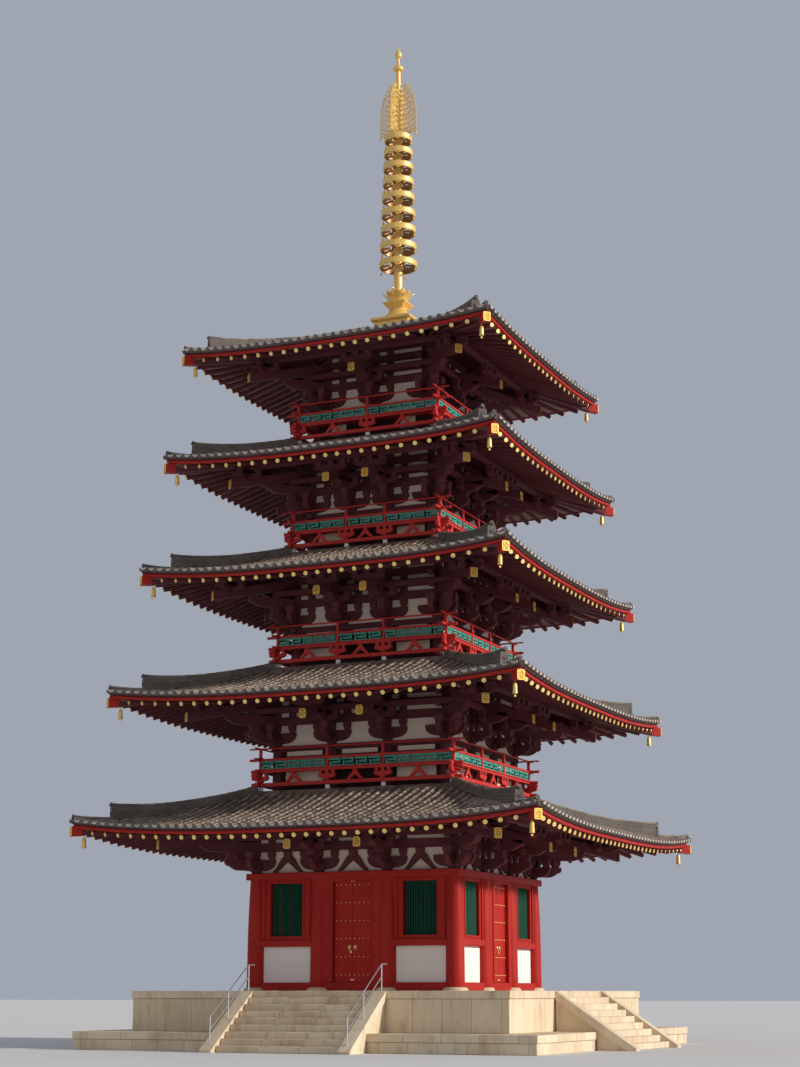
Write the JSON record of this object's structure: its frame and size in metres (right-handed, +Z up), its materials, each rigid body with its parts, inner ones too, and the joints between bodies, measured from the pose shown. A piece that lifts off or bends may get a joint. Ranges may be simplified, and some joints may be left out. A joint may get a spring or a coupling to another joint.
{
  "type": "pagoda",
  "caption": "Tall square temple tower with stacked tiled roofs on bracketed red timbers, railed balconies, hinged ground doors, a stepped stone podium and a ringed gilt finial.",
  "frame": {"origin": "on the ground at the centre of the plan", "axes": "+Z up, -Y the front face, +X the right-hand face seen from the front"},
  "size_m": [19.4, 19.4, 39.2],
  "materials": {
    "podium_stone": "sawn slabs, weathered",
    "red_timber": "vermilion paint, satin",
    "white_plaster": "lime plaster, matt",
    "roof_tile": "unglazed clay tile, weathered",
    "gilt_bronze": "gilded, satin",
    "green_paint": "verdigris green paint, satin",
    "handrail_steel": "brushed tube"
  },
  "bodies": {
    "tower": {"podium_lower": "podium_stone", "podium_upper": "podium_stone", "front_stair": "podium_stone", "right_stair": "podium_stone", "back_stair": "podium_stone", "left_stair": "podium_stone", "front_handrail_left": "handrail_steel", "front_handrail_right": "handrail_steel", "ground_frame": "red_timber", "front_panel_right": "white_plaster", "front_panel_left": "white_plaster", "front_window_right": "red_timber", "front_window_left": "red_timber", "right_panel_right": "white_plaster", "right_panel_left": "white_plaster", "right_window_right": "red_timber", "right_window_left": "red_timber", "back_panel_right": "white_plaster", "back_panel_left": "white_plaster", "back_window_right": "red_timber", "back_window_left": "red_timber", "left_panel_right": "white_plaster", "left_panel_left": "white_plaster", "left_window_right": "red_timber", "left_window_left": "red_timber", "brackets_1": "red_timber", "eaves_1": "red_timber", "roof_1": "roof_tile", "upper_wall_2": "red_timber", "balcony_2": "red_timber", "brackets_2": "red_timber", "eaves_2": "red_timber", "roof_2": "roof_tile", "upper_wall_3": "red_timber", "balcony_3": "red_timber", "brackets_3": "red_timber", "eaves_3": "red_timber", "roof_3": "roof_tile", "upper_wall_4": "red_timber", "balcony_4": "red_timber", "brackets_4": "red_timber", "eaves_4": "red_timber", "roof_4": "roof_tile", "upper_wall_5": "red_timber", "balcony_5": "red_timber", "brackets_5": "red_timber", "eaves_5": "red_timber", "roof_5": "roof_tile", "finial_base": "gilt_bronze", "finial_rings": "gilt_bronze", "finial_flame": "gilt_bronze", "finial_jewel": "gilt_bronze"},
    "front_door_right": {"front_door_right": "red_timber"},
    "front_door_left": {"front_door_left": "red_timber"},
    "right_door_right": {"right_door_right": "red_timber"},
    "right_door_left": {"right_door_left": "red_timber"},
    "back_door_right": {"back_door_right": "red_timber"},
    "back_door_left": {"back_door_left": "red_timber"},
    "left_door_right": {"left_door_right": "red_timber"},
    "left_door_left": {"left_door_left": "red_timber"}
  },
  "joints": [
    {"name": "front_door_right_swing", "type": "hinge", "parent": "tower", "child": "front_door_right", "pos_m": [0.665, -3.85, 2.22], "axis": [0, 0, -1], "range_deg": [0, 90]},
    {"name": "front_door_left_swing", "type": "hinge", "parent": "tower", "child": "front_door_left", "pos_m": [-0.665, -3.85, 2.22], "axis": [0, 0, 1], "range_deg": [0, 90]},
    {"name": "right_door_right_swing", "type": "hinge", "parent": "tower", "child": "right_door_right", "pos_m": [3.85, 0.665, 2.22], "axis": [0, 0, -1], "range_deg": [0, 90]},
    {"name": "right_door_left_swing", "type": "hinge", "parent": "tower", "child": "right_door_left", "pos_m": [3.85, -0.665, 2.22], "axis": [0, 0, 1], "range_deg": [0, 90]},
    {"name": "back_door_right_swing", "type": "hinge", "parent": "tower", "child": "back_door_right", "pos_m": [-0.665, 3.85, 2.22], "axis": [0, 0, -1], "range_deg": [0, 90]},
    {"name": "back_door_left_swing", "type": "hinge", "parent": "tower", "child": "back_door_left", "pos_m": [0.665, 3.85, 2.22], "axis": [0, 0, 1], "range_deg": [0, 90]},
    {"name": "left_door_right_swing", "type": "hinge", "parent": "tower", "child": "left_door_right", "pos_m": [-3.85, -0.665, 2.22], "axis": [0, 0, -1], "range_deg": [0, 90]},
    {"name": "left_door_left_swing", "type": "hinge", "parent": "tower", "child": "left_door_left", "pos_m": [-3.85, 0.665, 2.22], "axis": [0, 0, 1], "range_deg": [0, 90]}
  ]
}
